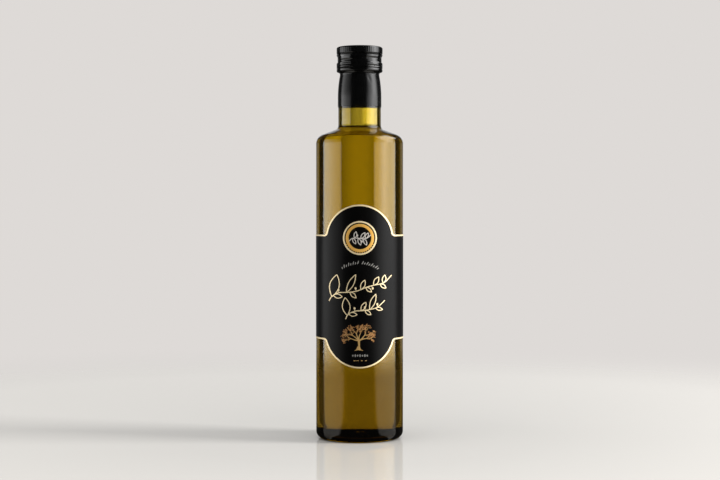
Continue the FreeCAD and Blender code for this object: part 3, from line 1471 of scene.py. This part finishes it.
@dataclass
class FoilPrint:
    """All that is stamped on the label: emblem, garland, two branches, tree, caption and bars."""

    label: Label
    emblem: Point = (0.2, 138.0)
    emblem_ring: Point = (7.55, 9.5)
    emblem_rim: Point = (10.3, 11.35)
    beads: int = 15
    bead_arc: Point = (206.0, 334.0)
    bead_reach: float = 9.9
    bead: float = 0.7
    garland: Point = (0.0, 99.2)
    garland_radius: float = 21.2
    garland_side: int = 8
    garland_pitch: float = 4.1
    garland_lean: float = 24.0
    garland_leaf: Point = (1.7, 0.62)
    garland_longer: float = 0.9
    caption: Point = (0.3, 59.2)
    caption_side: int = 3
    caption_pitch: float = 1.6
    bar_height: float = 55.8
    bars: tuple[Point, ...] = ((-4.0, -0.6), (1.0, 4.8))
    bar: float = 0.6
    seed: int = 7
    forks: int = 3

    def draw_ring(self, pen: Pen) -> None:
        """The emblem's broad ring, with a row of beads outside its lower half.

        Args:
            pen: What it is drawn with.
        """
        pen.ring(self.emblem, *self.emblem_ring)
        start, end = self.bead_arc
        for bead in range(self.beads):
            turn = start + (end - start) * bead / (self.beads - 1)
            pen.dot(polar(self.emblem, self.bead_reach, turn), self.bead)

    def draw_rim(self, pen: Pen) -> None:
        """The thin ring round the emblem."""
        pen.ring(self.emblem, *self.emblem_rim)

    def draw_emblem_sprig(self, pen: Pen) -> None:
        """A branch that runs as a wave from one side of the ring to the other.

        Args:
            pen: What it is drawn with.
        """
        x, z = self.emblem
        knots = ((-7.4, -2.2), (-5.2, -0.3), (-1.5, -0.1), (2.6, -0.5), (5.2, 0.2), (7.4, 2.2))
        leaves = (
            (0.3, 78, 4.4, 1.9), (0.5, 62, 4.8, 2.0), (0.68, 50, 4.2, 1.8),
            (0.24, -72, 4.2, 1.8), (0.44, -66, 4.8, 2.0), (0.62, -70, 4.6, 1.9),
        )
        stem = tuple((x + across, z + up) for across, up in knots)
        Sprig(stem, leaves, ((0.4, 100), (0.56, -95)), line=0.55, olive=1.2).draw(pen)

    def draw_garland(self, pen: Pen) -> None:
        """A short arc of small slanted leaves, every other one longer, open in the middle.

        Args:
            pen: What it is drawn with.
        """
        length, width = self.garland_leaf
        for number in range(-self.garland_side, self.garland_side + 1):
            if number:
                turn = 90 + number * self.garland_pitch
                base = polar(self.garland, self.garland_radius, turn)
                longer = self.garland_longer * (number % 2)
                pen.blade(base, turn - self.garland_lean, length + longer, width)

    def draw_branch_over(self, pen: Pen) -> None:
        """The long branch, which rises to the right.

        Args:
            pen: What it is drawn with.
        """
        stem = (
            (-20.6, 95.6), (-18.6, 98.6), (-14.0, 101.2), (-8.0, 101.6), (-1.5, 102.6), (5.0, 105.2),
            (11.0, 106.6), (16.6, 108.0), (21.6, 112.8),
        )
        leaves = (
            (0.13, 38, 15.0, 6.6), (0.16, -42, 6.0, 2.8), (0.36, 58, 13.4, 3.6), (0.42, -50, 5.6, 2.4),
            (0.56, 44, 6.8, 2.8), (0.62, -58, 4.8, 2.2), (0.73, 48, 6.4, 3.0), (0.86, 52, 5.4, 2.6),
            (0.82, -48, 4.8, 2.2),
        )
        Sprig(stem, leaves, ((0.26, 84), (0.49, 88), (0.7, -80))).draw(pen)

    def draw_branch_under(self, pen: Pen) -> None:
        """The short branch beneath it.

        Args:
            pen: What it is drawn with.
        """
        stem = (
            (-9.4, 83.6), (-7.6, 86.8), (-3.2, 89.0), (2.4, 89.4), (7.4, 90.2), (12.0, 91.6), (17.0, 96.0),
        )
        leaves = (
            (0.14, 44, 12.0, 5.2), (0.2, -40, 5.4, 2.6), (0.46, 58, 6.4, 2.8), (0.56, -46, 4.8, 2.2),
            (0.66, 56, 11.0, 3.2), (0.8, -38, 4.6, 2.1),
        )
        Sprig(stem, leaves, ((0.34, 84), (0.56, 88), (0.84, 60))).draw(pen)

    def draw_tree(self, wood: Pen, leaves: Pen) -> None:
        """An old olive tree: flared roots, a short trunk and forked limbs, and its crown of leaves.

        Args:
            wood: What draws its wood.
            leaves: What draws its leaves.
        """
        dice = random.Random(self.seed)
        foot, fork = Vector((-0.7, 62.9)), Vector((-0.5, 69.2))
        wood.curve([foot, (-0.4, 66.0), fork], [1.9, 1.2, 1.5])
        for reach, rise in ((-2.6, 0.0), (-1.4, 0.3), (1.5, 0.3), (3.0, 0.0)):
            root = [(0.12, 65.2), (0.45, 63.4), (1.0, 62.5 + rise)]
            wood.curve([(foot.x + reach * share, up) for share, up in root], [1.0, 0.7, 0.25])
        tips: list[Vector] = []
        for turn, length in ((164, 5.6), (137, 5.6), (108, 5.4), (79, 5.6), (46, 5.6), (18, 5.4)):
            self.grow(wood, dice, fork, turn, length, 0.85, self.forks, tips)
        for tip in tips:
            for _ in range(3):
                near = (tip.x + dice.uniform(-0.7, 0.7), tip.y + dice.uniform(-0.6, 0.6))
                leaves.blade(near, dice.uniform(0, 360), dice.uniform(0.8, 1.3), dice.uniform(0.32, 0.5))

    def grow(
        self, pen: Pen, dice: random.Random, base: Vector, turn: float, length: float, width: float,
        forks: int, tips: list[Vector],
    ) -> None:
        """Grows one limb and what it forks into.

        Args:
            pen: What the limb is drawn with.
            dice: The source of its small changes.
            base: Where it starts.
            turn: Which way it heads, in degrees.
            length: Its length.
            width: Its width at the start.
            forks: How many more times it forks.
            tips: Where the twigs' ends are gathered.
        """
        way = math.radians(turn)
        tip = base + Vector((length * math.cos(way), 0.92 * length * math.sin(way)))
        bow = Vector((math.sin(way), -math.cos(way))) * dice.uniform(-0.25, 0.25) * length / 3
        pen.curve([base, (base + tip) / 2 + bow, tip], [width, width * 0.62])
        if forks == 0:
            tips.append(tip)
            return
        if forks < self.forks:
            tips.append((base + tip) / 2)
        for side in (-1, 1):
            lean = turn + side * dice.uniform(18, 40)
            self.grow(pen, dice, tip, lean, length * dice.uniform(0.5, 0.66), width * 0.6, forks - 1, tips)

    def draw_caption(self, pen: Pen) -> None:
        """A row of small lozenges, every other one taller.

        Args:
            pen: What it is drawn with.
        """
        x, z = self.caption
        for number in range(-self.caption_side, self.caption_side + 1):
            pen.dot((x + number * self.caption_pitch, z), 1.0, 1.3 if number % 2 else 1.9)

    def draw_bars(self, pen: Pen) -> None:
        """Two short bars."""
        for ends in self.bars:
            pen.line([(end, self.bar_height) for end in ends], [self.bar])

    def build(self) -> None:
        """Stamps the edging and every drawing."""
        pale = StampedFoil("gold_foil_pale_stamped", "#ffdf9e", "#fff3d2").make()
        rich = StampedFoil("gold_foil_rich_stamped", "#f0ac48", "#ffd070").make()
        old = StampedFoil("gold_foil_antique_stamped", "#b98a4c", "#e8c684").make()
        bronze = StampedFoil("bronze_foil_stamped", "#6a4020", "#e8ac6c").make()
        grey = StampedFoil("silver_foil_dull_stamped", "#8c8a85", "#b4b2ac").make()
        silver = StampedFoil("silver_foil_bright_stamped", "#d0c8be", "#f2ece4").make()
        self.label.build_edging("foil_edging_top", self.label.top, pale)
        self.label.build_edging("foil_edging_bottom", self.label.bottom, pale)
        crown = Pen()
        for name, foil, draw in (
            ("foil_emblem_rings", rich, self.draw_ring),
            ("foil_emblem_rim", pale, self.draw_rim),
            ("foil_emblem_sprig", silver, self.draw_emblem_sprig),
            ("foil_garland", grey, self.draw_garland),
            ("foil_branch_over", pale, self.draw_branch_over),
            ("foil_branch_under", pale, self.draw_branch_under),
            ("foil_tree", old, lambda pen: self.draw_tree(pen, crown)),
            ("foil_tree_leaves", bronze, lambda pen: pen.strokes.extend(crown.strokes)),
            ("foil_caption", grey, self.draw_caption),
            ("foil_bars", old, self.draw_bars),
        ):
            pen = Pen()
            draw(pen)
            pen.stamp(name, foil, self.label.paper.radius)


# ---------------------------------------------------------------- studio


# Each ring is brightness by angle in degrees, with 0 straight behind the bottle and 90 to its right.

GLOW_RING = (
    (-180, 0.0), (-39.5, 0.0), (-38.5, 0.9), (-24, 1.25), (-14, 1.25), (-7, 0.75), (-3, 0.0), (180, 0.0),
)
WALL_RING = ((-180, 0.0), (-18, 0.0), (-14, 0.6), (14, 0.6), (18, 0.0), (180, 0.0))
CAP_RING = (
    (-180, 0.02), (-134, 0.02), (-125, 0.25), (-119, 0.35), (-101, 0.75), (-80, 1.5), (-68.5, 1.5),
    (-66, 0.02), (-44, 0.02), (-42, 0.06), (42, 0.06), (44, 0.02),
    (68, 0.02), (74, 1.2), (82, 3.3), (92, 4.7), (102, 4.7), (109, 3.5), (114, 2.2), (126, 1.5), (134, 0.7),
    (139, 0.02), (180, 0.02),
)
HIGH_RING = ((-180, 0.02), (48, 0.02), (52, 4.7), (115, 4.7), (120, 0.02), (180, 0.02))
GLOSS_RING = (
    (-180, 0.02), (-132.5, 0.02), (-131, 1.1), (-110, 1.9), (-94, 2.9), (-68.5, 3.2), (-67, 0.02),
    (-44, 0.02), (-42, 0.2), (42, 0.2), (44, 0.02),
    (70, 0.02), (71.5, 3.2), (91, 2.9), (112, 4.6), (130, 1.6), (141, 1.15), (142.5, 0.02), (180, 0.02),
)
SIGHT_RING = (
    (-180, 0.6), (-138, 0.6), (-134, 0.04), (-118, 0.04), (-114, 0.5), (-66, 0.5), (-54, 0.16),
    (-49, 0.06), (-40.5, 0.03), (-39, 1.0), (-24, 1.28), (-13, 1.25), (-12, 0.55), (-4, 0.74),
    (4, 0.74), (9, 0.62), (16, 0.4), (17, 0.95), (24, 0.98), (39, 0.8), (40.5, 0.03),
    (53, 0.03), (56, 0.3), (66, 0.5), (114, 0.5), (118, 0.04), (134, 0.04), (138, 0.6), (180, 0.6),
)


@dataclass
class Surround:
    """What stands round the bottle, built up in the world's nodes from rings of brightness."""

    tree: Tree
    peak: float

    def __post_init__(self) -> None:
        """Splits the direction that a ray looks in, and finds its angle round the bottle."""
        way = add_node(self.tree, "TexCoord").outputs["Generated"]
        self.way = add_node(self.tree, "SeparateXYZ", {0: way}).outputs
        angle = add_node(self.tree, "Math", {0: self.way["X"], 1: self.way["Y"]}, operation="ARCTAN2")
        turn = {0: angle, 1: 1 / math.tau, 2: 0.5}
        self.turn = add_node(self.tree, "Math", turn, operation="MULTIPLY_ADD")

    def dimmed(self, colour: Node, *fades: Ease) -> Node:
        """Dims a colour over the direction's upward share.

        Args:
            colour: The node that gives the colour.
            fades: How much of it is left at each upward share, from -1 to 1.

        Returns:
            The node that gives the dimmed colour.
        """
        for fade in fades:
            share = add_node(self.tree, "MapRange", fade.sockets(self.way["Z"]))
            colour = add_node(self.tree, "VectorMath", {0: colour, "Scale": share}, operation="SCALE")
        return colour

    def ring(self, stops: Iterable[Point], *fades: Ease) -> Node:
        """Adds a ring of brightness round the bottle.

        Args:
            stops: (angle in degrees, brightness) pairs, from -180 to 180.
            fades: How it dims over the direction's upward share.

        Returns:
            The node that gives the brightness, as a share of the peak.
        """
        ramp = add_node(self.tree, "ValToRGB", {"Fac": self.turn})
        elements = ramp.color_ramp.elements
        elements.remove(elements[1])
        elements[0].position = 0
        for angle, level in stops:
            place = angle / 360 + 0.5
            element = elements.new(place) if place > 0 else elements[0]
            element.color = (level / self.peak, level / self.peak, level / self.peak, 1)
        return self.dimmed(ramp, *fades)

    def mirrored(self) -> Node:
        """Adds what gloss mirrors: softboxes at either side, other ones for the cap, and the wall behind.

        Low down, where the floor lies, the softboxes are veiled, and more so on the right.

        Returns:
            The node that gives it.
        """
        tree, rise = self.tree, self.way["Z"]
        seen = self.ring(GLOSS_RING)
        for stops, reach in ((CAP_RING, Ease(0.06, 0.085)), (HIGH_RING, Ease(0.38, 0.5))):
            share = add_node(tree, "MapRange", reach.sockets(rise))
            seen = {"Factor": share, "A": seen, "B": self.ring(stops)}
            seen = add_node(tree, "Mix", seen, data_type="RGBA")
        right = add_node(tree, "MapRange", Ease(0.05, -0.05, 0.4).sockets(self.way["X"]))
        lower = add_node(tree, "MapRange", Ease(-0.085, -0.112).sockets(rise))
        veil = add_node(tree, "Math", {0: right, 1: 0.22, 2: -1.0}, operation="MULTIPLY_ADD")
        veil = add_node(tree, "Math", {0: lower, 1: veil, 2: 1.0}, operation="MULTIPLY_ADD")
        seen = add_node(tree, "VectorMath", {0: seen, "Scale": veil}, operation="SCALE")
        seen = self.dimmed(seen, Ease(0.85, 0.78, 0.04), Ease(-0.3, -0.17, 0.2))
        wall = self.ring(WALL_RING, Ease(0.055, 0.08), Ease(0.44, 0.32))
        return add_node(tree, "VectorMath", {0: seen, 1: wall}, operation="MAXIMUM")

    def seen_through(self) -> Node:
        """Adds what glass and oil show of it, with a glow low behind that only the neck catches.

        Returns:
            The node that gives it.
        """
        seen = self.ring(SIGHT_RING, Ease(-0.36, -0.28, 0.12))
        glow = self.ring(GLOW_RING, Ease(0.052, 0.058), Ease(0.11, 0.09))
        return add_node(self.tree, "VectorMath", {0: seen, 1: glow}, operation="ADD")


@dataclass(frozen=True)
class Softbox:
    """A soft light that faces the bottle, in metres and watts.

    Its azimuth is in degrees from straight behind the bottle towards the right.
    """

    name: str
    away: float
    azimuth: float
    height: float
    size: Point
    power: float
    aim: float = 0.12

    def place(self) -> None:
        """Adds the light, which lights matt surfaces and isn't seen in gloss or glass."""
        azimuth = math.radians(self.azimuth)
        spot = Vector((self.away * math.sin(azimuth), self.away * math.cos(azimuth), self.height))
        turn = (Vector((0, 0, self.aim)) - spot).to_track_quat("-Z", "Y").to_euler()
        bpy.ops.object.light_add(type="AREA", location=spot, rotation=turn)
        light = bpy.context.object
        light.name = self.name
        light.data.shape = "RECTANGLE"
        light.data.size, light.data.size_y = self.size
        light.data.energy = self.power
        light.visible_camera = light.visible_glossy = light.visible_transmission = False


@dataclass
class Studio:
    """A pale worktop under soft light, and the camera at the height of the bottle's middle."""

    camera_at: tuple[float, float, float] = (0.00027, -1.055, 0.154)
    pitch_deg: float = -0.968
    lens: float = 76.65
    sensor: float = 36
    backdrop: str = "#dedad7"
    floor_radius_m: float = 2.5
    floor_gap: float = 0.05
    peak: float = 4.7
    ambient: float = 0.7
    softboxes: tuple[Softbox, ...] = (
        Softbox("softbox_left", 1.2, -112, 0.6, (1.3, 1.1), 5),
        Softbox("softbox_right", 2.0, 99, 0.62, (0.66, 1.0), 84),
        Softbox("softbox_top", 0.3, 180, 1.1, (0.8, 0.8), 3),
    )

    def place_camera(self) -> None:
        """Adds the camera, level but for a slight tilt down, and makes it the scene's."""
        turn = (math.radians(90 + self.pitch_deg), 0, 0)
        bpy.ops.object.camera_add(location=self.camera_at, rotation=turn)
        camera = bpy.context.object
        camera.data.lens = self.lens
        camera.data.sensor_width = self.sensor
        bpy.context.scene.camera = camera

    def lay_floor(self) -> None:
        """Adds the worktop as a wide disc, just under the foot."""
        clear_selection()
        under = (0, 0, -self.floor_gap * MM)
        bpy.ops.mesh.primitive_circle_add(
            vertices=96, radius=self.floor_radius_m, fill_type="NGON", location=under
        )
        floor = named("worktop")
        bpy.ops.object.transform_apply(location=True)
        dress(floor, HonedFloor().make())

    def light_world(self) -> None:
        """Sets what surrounds the bottle: a plain pale backdrop, and softboxes where gloss looks."""
        world = bpy.data.worlds.new("studio")
        bpy.context.scene.world = world
        world.use_nodes = True
        world.cycles.sampling_method = "NONE"
        tree = world.node_tree
        tree.nodes.clear()
        surround = Surround(tree, self.peak)
        path = add_node(tree, "LightPath").outputs
        views = {"Is Glossy Ray": surround.mirrored(), "Is Transmission Ray": surround.seen_through()}
        room = (self.ambient, self.ambient, self.ambient, 1)
        for flag, view in views.items():
            view = add_node(tree, "VectorMath", {0: view, "Scale": self.peak}, operation="SCALE")
            room = add_node(tree, "Mix", {"Factor": path[flag], "A": room, "B": view}, data_type="RGBA")
        room = {"Factor": path["Is Camera Ray"], "A": room, "B": linear(self.backdrop)}
        room = add_node(tree, "Mix", room, data_type="RGBA")
        add_node(tree, "OutputWorld", {"Surface": add_node(tree, "Background", {"Color": room})})

    def build(self) -> None:
        """Sets up camera, floor, world and lights."""
        self.place_camera()
        self.lay_floor()
        self.light_world()
        for softbox in self.softboxes:
            softbox.place()
        bpy.context.scene.view_settings.view_transform = "Standard"


def main() -> None:
    """Builds every piece of the bottle, then the studio."""
    logging.basicConfig(level=logging.INFO, format="%(name)s: %(message)s")
    bottle = GlassBottle()
    bottle.build()
    OilFill(bottle).build()
    ScrewCap().build()
    NeckSleeve(bottle).build()
    label = Label()
    label.build_paper()
    FoilPrint(label).build()
    Studio().build()


if __name__ == "__main__":
    main()
